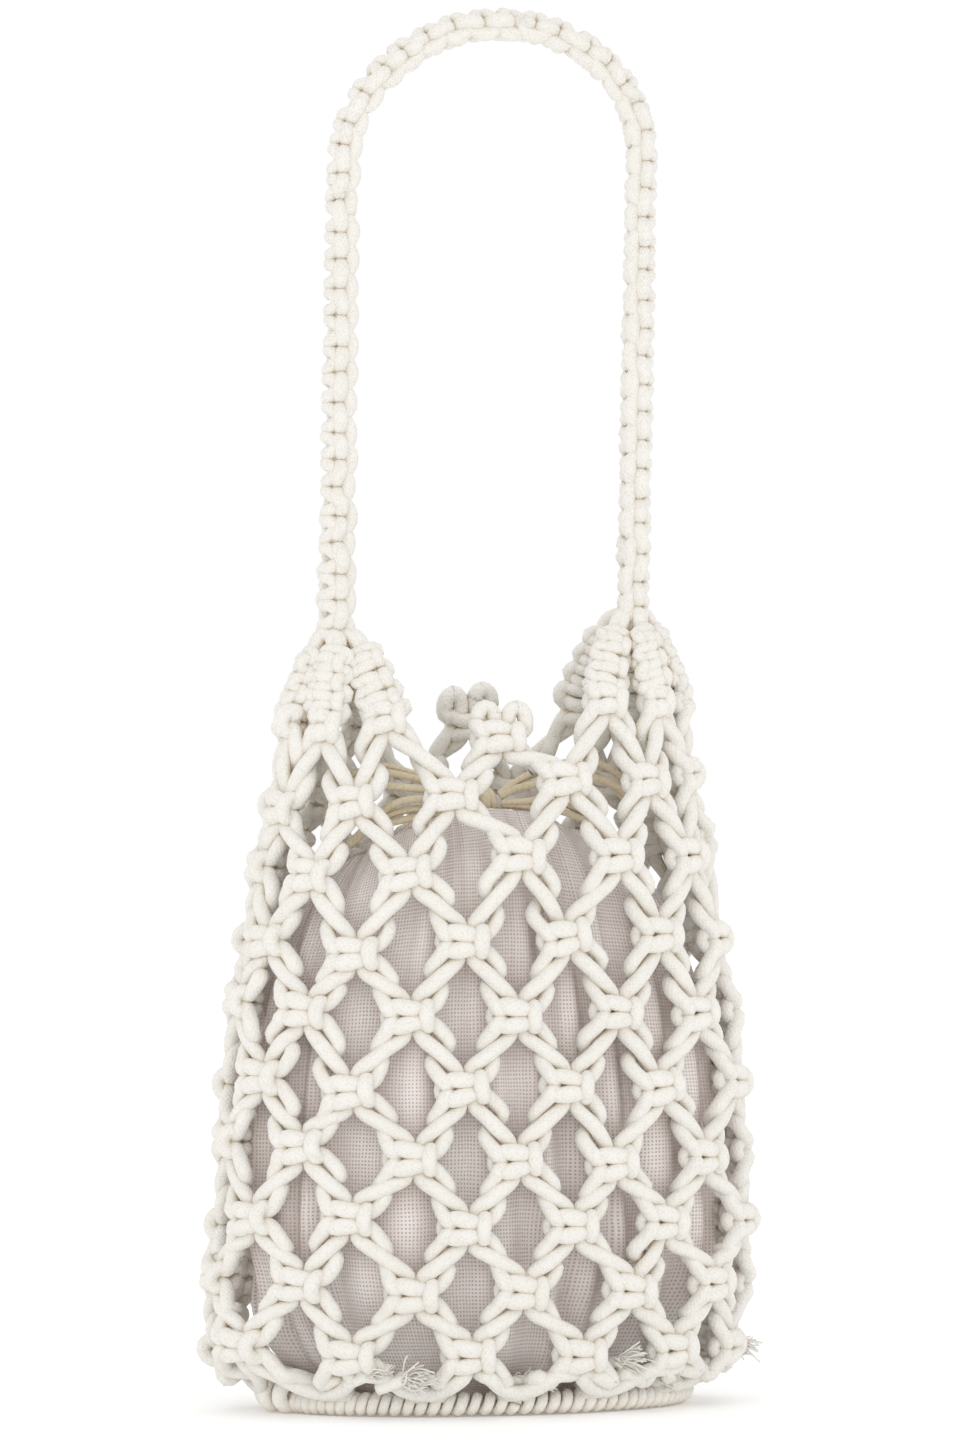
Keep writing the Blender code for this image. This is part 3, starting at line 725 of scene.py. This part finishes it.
for role in CORE:
    points = [point for knot in handle_frames
              for point in through_knot(knot, role, False, False, HANDLE_CORE)]
    tubes.add_uneven(smooth_line(points, TYING_SPACING), CORD_SIDES)
handle = tubes.piece("handle_sennit", COTTON)
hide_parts("handle")

# Base
# An oval floor of cord laid in rows, with a thick ring of cord wrapped side by side round its
# edge, where the cords of the net are fastened.
WRAPS = 96
WRAP_POINTS = 9
WRAP_CORD = 0.0021
WRAP_UNEVEN = 0.05
RIM_LIFT = 0.0003
BASE_SIDES = 10
# Painted light: the base's cord is the net's cotton in a lighter copy, to lift the shade that falls on
# the rim and floor near the ground
LIGHTENED_BASE_COTTON = cord_material("base_cord", light=(0.95, 0.925, 0.87), dark=(0.91, 0.87, 0.80),
                            crease_shade=(0.86, 0.78, 0.67), roughness=0.85, turns=9.0, pitch=0.0017,
                            crossed=1.0, depth=0.0002, sheen=0.2)


def oval(half_width, half_depth, turn, height):
    """A level oval line, from its front towards the right."""
    return np.stack([half_width * np.sin(turn), -half_depth * np.cos(turn),
                     np.full_like(turn, height)], axis=1)


def wound(core, outwards, wind, reach):
    """A line wound round a core, given which way is outwards there."""
    upwards = np.array([0, 0, 1])
    return core + reach * (outwards * np.cos(wind)[:, None] + upwards * np.sin(wind)[:, None])


turn = np.linspace(0, math.tau, WRAPS * WRAP_POINTS + 1)
wind = turn * WRAPS
outwards = oval(RIM_DEPTH, RIM_WIDTH, turn, 0)
outwards /= np.linalg.norm(outwards, axis=1)[:, None]
core = oval(RIM_WIDTH / 2, RIM_DEPTH / 2, turn, RIM_THICKNESS / 2 + RIM_LIFT)
wrap = wound(core, outwards, wind, RIM_THICKNESS / 2 - WRAP_CORD)
halves = 2 * WRAPS + 1
uneven = np.interp(wind, math.pi * np.arange(halves), rng.normal(0, 1, halves))
tubes = Tubes()
tubes.add(wrap, WRAP_CORD * (1 + WRAP_UNEVEN * uneven), BASE_SIDES)

# The cord's end is wound over the ring where it was closed, at its left end
LUMP_CORD = 0.0029
LUMP_OUT = 0.002
LUMP_HEIGHT = 0.0080
LUMP_REACH = 0.0066
LUMP_WINDING = 40
LUMP_TAPER = 0.6

turn = math.tau * 0.75 + np.linspace(-0.22, 0.30, 90)
wind = LUMP_WINDING * (turn - turn[0]) + 0.5
core = oval(RIM_WIDTH / 2 + LUMP_OUT, RIM_DEPTH / 2 + LUMP_OUT, turn, LUMP_HEIGHT)
reach = LUMP_REACH * np.sin(np.linspace(LUMP_TAPER, math.pi - LUMP_TAPER, len(turn)))[:, None]
lump = wound(core, oval(1, 1, turn, 0), wind, reach)
lump[:, 2] = np.maximum(lump[:, 2], LUMP_CORD + RIM_LIFT)
tubes.add(lump, LUMP_CORD, BASE_SIDES)
rim = tubes.piece("rim_wraps", LIGHTENED_BASE_COTTON)
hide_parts("base_rim")

# The floor's cord goes round in rows that press on each other, up to a slit in the middle
PANEL_CORD = 0.0048
PANEL_PITCH = 0.95 * PANEL_CORD
PANEL_LIFT = 0.0001
PANEL_SLIT = 0.001

tubes = Tubes()
half_width = (RIM_WIDTH - RIM_THICKNESS) / 2
half_depth = (RIM_DEPTH - RIM_THICKNESS) / 2
turn = np.linspace(0, math.tau, 97)
for inset in np.arange(PANEL_PITCH / 2, half_depth - PANEL_SLIT, PANEL_PITCH):
    line = oval(half_width - inset, half_depth - inset, turn, PANEL_CORD / 2 + PANEL_LIFT)
    tubes.add(line, PANEL_CORD / 2, BASE_SIDES, rng.uniform(0, 0.1))
floor_cords = tubes.piece("base_floor", LIGHTENED_BASE_COTTON)
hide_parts("base_panel")

# Frayed ends
# Where the net's cords were cut off inside the foot, short ends stick out between the knots and
# their braid has come undone into loose yarn.

# Where each end's braid stops, which way it points, and the length of its yarns
FRAYED_ENDS = (
    ((-0.0430, -0.0490, 0.0150), (0.6, -0.5, 0.25), 0.0105),
    ((0.0030, -0.0430, 0.0130), (0.8, -0.3, 0.10), 0.0100),
    ((0.0400, -0.0440, 0.0195), (0.7, -0.5, 0.20), 0.0090),
    ((0.0960, -0.0060, 0.0220), (1.0, -0.2, -0.30), 0.0080),
    ((0.0600, -0.0330, 0.0110), (0.6, -0.7, 0.10), 0.0060),
    ((-0.0540, -0.0430, 0.0170), (0.6, -0.5, 0.30), 0.0070),
    ((-0.0500, 0.0430, 0.0150), (-0.5, 0.6, 0.20), 0.0080),
    ((0.0200, 0.0480, 0.0140), (0.3, 0.8, 0.20), 0.0080),
)
STUB = 0.012
YARNS = 60
YARN = 0.0003
YARN_ROOT = 0.0010

# How far the yarns spread, bend and sag, as shares of their length
YARN_SPREAD = 0.26
YARN_BEND = 0.10
YARN_SAG = 0.12
LOOSE_YARN = cord_material("loose_yarn", light=(0.86, 0.84, 0.80), dark=(0.82, 0.79, 0.73),
                           crease_shade=(0.80, 0.76, 0.69), roughness=0.8, turns=2.0, pitch=0.0008,
                           crossed=0.0, depth=0.0001, sheen=0.2)

tubes = Tubes()
for start, way, length in FRAYED_ENDS:
    start, way = np.array(start), unit(np.array(way))
    stub = np.linspace(start - way * STUB, start, 7)
    tubes.add(stub, np.linspace(CORD_RADIUS * 0.9, CORD_RADIUS * 0.75, 7), 10)
    for _ in range(YARNS):
        root = start - way * YARN_ROOT + rng.normal(0, YARN_ROOT, 3)
        spread = way * length * rng.uniform(0.4, 1.0) + rng.normal(0, YARN_SPREAD * length, 3)
        bend = rng.normal(0, YARN_BEND * length, 3)
        share = np.linspace(0, 1, 6)[:, None]
        line = root + spread * share + bend * np.sin(math.pi * share)
        line[:, 2:] -= YARN_SAG * length * share ** 2
        line[:, 2] = np.maximum(line[:, 2], 0.001)
        tubes.add(line, YARN, 5, rng.uniform(0, 0.1))
frayed = tubes.piece("frayed_ends", LOOSE_YARN)

# Pouch
# Loose cotton gauze, greyish pink, gathered at the mouth by the drawcord and hanging in soft
# upright folds down to the base. Its weave is open enough to show as a grid of holes, painted dark as
# the shade inside seen through them.
LINER_HEIGHT = 0.219
LINER_FOLDS = 22
NET_WALL = 0.0125
LINER_ROOM = NET_WALL / 2 + 0.001
FOLD_DEPTH = 0.0042
LINER_COLUMNS = 330
LINER_STEPS = 100
GAUZE_THICKNESS = 0.0008

# Cloth from the lowest ring to the middle of the bottom
BOTTOM_CLOTH = 0.03

# The folds crowd here and part there, and have finer ripples: times round, and how much
WARPS = ((2, 0.10), (3, 0.09), (5, 0.06), (9, 0.03))
RIPPLES = ((31, 0.00045), (43, 0.0003), (57, 0.0002), (13, 0.0007))
PLEATS = 66
PLEAT_DEPTH = 0.0009

# The loose cloth crumples in slanting folds below this share of its height
SLACK_UNDER = 0.42
SLACK_FOLD = 0.0055
SLACK_FOLDS = 6
SLACK_SLANT = 17

# Height, width, depth and droop at its sides as shares, and how deep the folds are
LINER_RINGS = np.array((
    (1.000, 0.790, 0.42, 0.096, 0.7),
    (0.954, 0.870, 0.68, 0.078, 0.9),
    (0.868, 0.940, 0.90, 0.046, 1.0),
    (0.685, 0.995, 0.98, 0.014, 1.0),
    (0.457, 1.005, 0.98, 0.000, 1.0),
    (0.228, 0.985, 0.96, 0.000, 1.2),
    (0.091, 0.860, 0.84, 0.000, 0.9),
    (0.026, 0.620, 0.60, 0.000, 0.2),
))

# The gathered edge turns over the drawcord's channel and into the mouth: millimetres inwards
# across its width and its depth, and upwards
CUFF = np.array(((0.0, 0.0, 0.0), (1.6, 1.2, 1.2), (3.6, 2.8, 1.6), (5.8, 4.4, 0.9), (8.0, 6.2, -0.8),
                 (10.5, 8.2, -3.4), (13.0, 10.0, -6.4))) * MM
CUFF_STEPS = 14

# The turned edge puckers: times round, and how far up and down
PUCKERS = 44
PUCKER_DEPTH = 0.0011


def wall_size(height):
    """Half the net's width and half its depth at a height."""
    shares = [row[0] for row in reversed(NET_ROWS)]
    return tuple(
        np.interp(height / NET_HEIGHT, shares, [row[k] * size / 2 for row in reversed(NET_ROWS)])
        for k, size in ((1, NET_WIDTH), (2, NET_DEPTH))
    )


def liner_rings():
    """Half width, half depth, height, droop and fold of many rings from the mouth down."""
    at = np.linspace(0, 1, LINER_STEPS)
    places = np.linspace(0, 1, len(LINER_RINGS))
    table = []
    for ring in LINER_RINGS:
        half_width, half_depth = wall_size(ring[0] * LINER_HEIGHT)
        table.append((ring[1] * (half_width - LINER_ROOM), ring[2] * (half_depth - LINER_ROOM),
                      ring[0] * LINER_HEIGHT, ring[3] * LINER_HEIGHT, ring[4]))
    return smooth_rows(places, np.array(table), at)


def smooth_rows(places, table, at):
    """Values between the rows of a table, without corners at them."""
    slopes = np.gradient(table, places, axis=0)
    index = np.clip(np.searchsorted(places, at, side="right") - 1, 0, len(places) - 2)
    step = (places[index + 1] - places[index])[:, None]
    t = (at[:, None] - places[index][:, None]) / step
    before, after = index, index + 1
    return ((2 * t ** 3 - 3 * t ** 2 + 1) * table[before]
            + (t ** 3 - 2 * t ** 2 + t) * step * slopes[before]
            + (3 * t ** 2 - 2 * t ** 3) * table[after]
            + (t ** 3 - t ** 2) * step * slopes[after])


def liner_folds(angle, height):
    """How far the gauze lies inside its outline: uneven upright folds that drift as they fall."""
    share = height / LINER_HEIGHT
    warped = angle.copy()
    for (count, size), phase in zip(WARPS, phases):
        warped += size * np.sin(count * angle + phase + 2.2 * share * math.sin(3 * phase))
    main = 0.5 - 0.5 * np.cos(LINER_FOLDS * warped)
    small = sum(size * np.cos(count * warped + phase + 3.0 * share * math.cos(2 * phase))
                for (count, size), phase in zip(RIPPLES, phases))
    pleat = PLEAT_DEPTH * share ** 8 * np.cos(PLEATS * warped)
    slack = max(0.0, 1 - share / SLACK_UNDER) ** 0.7
    drift = SLACK_SLANT * share + 2.4 * np.sin(2 * angle + phases[0])
    crumple = 0.5 - 0.5 * np.cos(SLACK_FOLDS * angle + drift)
    return FOLD_DEPTH * main ** 1.6 + small + pleat + SLACK_FOLD * slack * crumple ** 2


angle = np.linspace(0, math.tau, LINER_COLUMNS, endpoint=False)
phases = rng.uniform(0, math.tau, 4)
points = []
for half_width, half_depth, height, droop, fold in liner_rings():
    out = -fold * liner_folds(angle, height)
    points.append(np.stack([(half_width + out) * np.sin(angle), -(half_depth + out) * np.cos(angle),
                            height - droop * np.sin(angle) ** 2], axis=1))
mouth = points[0]
cuff = smooth_rows(np.linspace(0, 1, len(CUFF)), CUFF, np.linspace(0, 1, CUFF_STEPS))
for across_in, deep_in, lift in cuff[1:]:
    wave = np.cos(PUCKERS * angle + 2 * np.sin(3 * angle))
    pucker = PUCKER_DEPTH * (across_in / CUFF[-1, 0]) * wave
    points.insert(0, np.stack([
        mouth[:, 0] - across_in * np.sin(angle), mouth[:, 1] + deep_in * np.cos(angle),
        mouth[:, 2] + lift + pucker], axis=1))
rings = np.array(points)

# The map of the cloth has metres round its widest ring and metres down its front
mesh = bpy.data.meshes.new("pouch")
faces, cloth_map = [], []
widest = len(rings) // 2
across = np.linalg.norm(np.diff(np.concatenate([rings[widest], rings[widest][:1]]), axis=0), axis=1)
across = np.concatenate([[0], np.cumsum(across)])
down = np.concatenate([[0], np.cumsum(np.linalg.norm(np.diff(rings[:, 0], axis=0), axis=1))])
for k in range(len(rings) - 1):
    for j in range(LINER_COLUMNS):
        after = (j + 1) % LINER_COLUMNS
        a, b = k * LINER_COLUMNS, (k + 1) * LINER_COLUMNS
        faces.append((a + j, b + j, b + after, a + after))
        cloth_map += [across[j], down[k], across[j], down[k + 1],
                      across[j + 1], down[k + 1], across[j + 1], down[k]]
rings[..., 0] -= bulge(rings[..., 0], rings[..., 2])
centre = len(rings) * LINER_COLUMNS
last = centre - LINER_COLUMNS
for j in range(LINER_COLUMNS):
    faces.append((last + j, centre, last + (j + 1) % LINER_COLUMNS))
    cloth_map += [across[j], down[-1], across[j], down[-1] + BOTTOM_CLOTH, across[j + 1], down[-1]]
mesh.from_pydata([*rings.reshape(-1, 3).tolist(), rings[-1].mean(axis=0).tolist()], [], faces)
mesh.uv_layers.new(name="cloth").data.foreach_set("uv", cloth_map)

THREAD_PITCHES = {"X": 0.00125, "Y": 0.00142}
GAUZE_LIGHT = (0.985, 0.945, 0.93)
GAUZE_DARK = (0.93, 0.865, 0.845)
# Painted shade: the colour of the holes stands for the dark inside seen through them
GAUZE_HOLE_SHADE = (0.60, 0.49, 0.44)
# Painted shade: the brown that the hollows of the folds darken towards
GAUZE_FOLD_SHADE = (0.56, 0.44, 0.37)


def gauze_material():
    """Open plain weave: pale threads, holes between them painted dark as the shade inside, slubs of
    thicker yarn, and painted shade in the hollows of the folds.
    """
    material = bpy.data.materials.new("gauze")
    material.use_nodes = True
    tree = material.node_tree
    surface = tree.nodes["Principled BSDF"]
    place = node(tree, "ShaderNodeTexCoord").outputs["Object"]
    cloth = node(tree, "ShaderNodeUVMap", uv_map="cloth").outputs[0]
    wander = node(tree, "ShaderNodeTexNoise", {"Vector": place, "Scale": 60.0, "Detail": 2.0})
    shift = node(tree, "ShaderNodeVectorMath", {0: wander.outputs["Color"], 1: (0.5, 0.5, 0.5)},
                 operation="SUBTRACT")
    shift = node(tree, "ShaderNodeVectorMath", {0: shift.outputs[0], "Scale": 0.0016},
                 operation="SCALE")
    moved = node(tree, "ShaderNodeVectorMath", {0: cloth, 1: shift.outputs[0]}, operation="ADD")
    where = node(tree, "ShaderNodeSeparateXYZ", {0: moved.outputs[0]})
    threads, bumps = [], []
    for axis, pitch in THREAD_PITCHES.items():
        phase = sums(tree, "DIVIDE", where.outputs[axis], pitch)
        own = node(tree, "ShaderNodeTexWhiteNoise", {"W": sums(tree, "FLOOR", phase)},
                   noise_dimensions="1D")
        stretch = (1.0, 0.12, 1.0) if axis == "X" else (0.12, 1.0, 1.0)
        along = node(tree, "ShaderNodeVectorMath", {0: moved.outputs[0], 1: stretch},
                     operation="MULTIPLY")
        slub = node(tree, "ShaderNodeTexNoise", {"Vector": along.outputs[0], "Scale": 900.0,
                                                 "Detail": 1.0})
        thick = sums(tree, "MULTIPLY_ADD", own.outputs[0], 0.30, 0.22)
        thick = sums(tree, "MULTIPLY_ADD", slub.outputs[0], 0.62, thick)
        hump = sums(tree, "ABSOLUTE", sums(tree, "SINE", sums(tree, "MULTIPLY", phase, math.pi)))
        hump = sums(tree, "POWER", hump, 1.6)
        threads.append(sums(tree, "MULTIPLY", hump, sums(tree, "MULTIPLY", thick, 1.25)))
        bumps.append(hump)
    cover = sums(tree, "MAXIMUM", *threads)
    # Painted shade: the holes between the threads take a dark colour, standing in for the shaded
    # inside
    hole_shade_mask = node(tree, "ShaderNodeMapRange", {"Value": cover, "From Min": 0.24, "From Max": 0.58,
                                             "To Min": 1.0, "To Max": 0.0},
                interpolation_type="SMOOTHSTEP")
    patch = node(tree, "ShaderNodeTexNoise", {"Vector": place, "Scale": 45.0, "Detail": 3.0})
    tint = blended(tree, patch.outputs[0], GAUZE_LIGHT, GAUZE_DARK)
    colour = blended(tree, hole_shade_mask.outputs[0], tint, GAUZE_HOLE_SHADE)
    # Painted shade: ambient occlusion darkens the colour towards a brown in the hollows of the folds
    open_air = node(tree, "ShaderNodeAmbientOcclusion", {"Distance": 0.012}, samples=6)
    fold_shade_mask = node(tree, "ShaderNodeMapRange",
                  {"Value": open_air.outputs["AO"], "From Min": 0.95, "From Max": 0.35,
                   "To Min": 0.0, "To Max": 0.42})
    colour = blended(tree, fold_shade_mask.outputs[0], colour, GAUZE_FOLD_SHADE)
    tree.links.new(colour, surface.inputs["Base Color"])
    bump = node(tree, "ShaderNodeBump", {"Height": sums(tree, "MAXIMUM", *bumps),
                                         "Distance": 0.0003, "Strength": 0.7})
    tree.links.new(bump.outputs[0], surface.inputs["Normal"])
    surface.inputs["Roughness"].default_value = 0.9
    surface.inputs["Sheen Weight"].default_value = 0.15
    surface.inputs["Specular IOR Level"].default_value = 0.15
    return material


pouch = finished("pouch_gauze", mesh, gauze_material())
wall = pouch.modifiers.new("wall", "SOLIDIFY")
wall.thickness = GAUZE_THICKNESS
wall.offset = 0.0
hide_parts("liner")

# Studio
# A wide, plain, pale floor under an even white sky, with large soft lights in front.
FLOOR_REACH = 9.0
FLOOR_GLOW = 0.14
LAMP_SIZE = 1.6
LAMP_AIM = np.array([0, 0, 0.2])

STUDIO = bpy.data.materials.new("studio")
STUDIO.use_nodes = True
tree = STUDIO.node_tree
surface = tree.nodes["Principled BSDF"]
place = node(tree, "ShaderNodeTexCoord").outputs["Object"]
paper = node(tree, "ShaderNodeTexNoise", {"Vector": place, "Scale": 3.0})
shade = blended(tree, paper.outputs[0], (0.93, 0.93, 0.93), (0.95, 0.95, 0.945))
tree.links.new(shade, surface.inputs["Base Color"])
surface.inputs["Roughness"].default_value = 0.9
surface.inputs["Emission Color"].default_value = (1.0, 1.0, 1.0, 1)
surface.inputs["Emission Strength"].default_value = FLOOR_GLOW

mesh = bpy.data.meshes.new("studio_floor")
corners = [(x * FLOOR_REACH, y * FLOOR_REACH, 0) for x, y in ((-1, -1), (1, -1), (1, 1), (-1, 1))]
mesh.from_pydata(corners, [], [(0, 1, 2, 3)])
mesh.materials.append(STUDIO)
studio = bpy.data.objects.new("studio_floor", mesh)
bpy.context.scene.collection.objects.link(studio)

world = bpy.data.worlds.new("studio")
world.use_nodes = True
sky = world.node_tree.nodes["Background"]
sky.inputs["Color"].default_value = (1.0, 1.0, 1.0, 1)
sky.inputs["Strength"].default_value = 1.0
bpy.context.scene.world = world

for name, place, power in (
    ("key", (-1.2, -2.2, 1.9), 5),
    ("front", (-0.9, -2.9, 0.6), 5),
    ("fill", (1.8, -1.8, 1.0), 1),
):
    lamp = bpy.data.lights.new(name, "AREA")
    lamp.shape = "DISK"
    lamp.size = LAMP_SIZE
    lamp.energy = power
    light = bpy.data.objects.new(name, lamp)
    away = unit(np.array(place) - LAMP_AIM)
    light.location = place
    light.rotation_euler = (math.acos(away[2]), 0, math.atan2(away[0], -away[1]))
    bpy.context.scene.collection.objects.link(light)

bpy.context.scene.view_settings.view_transform = "Standard"
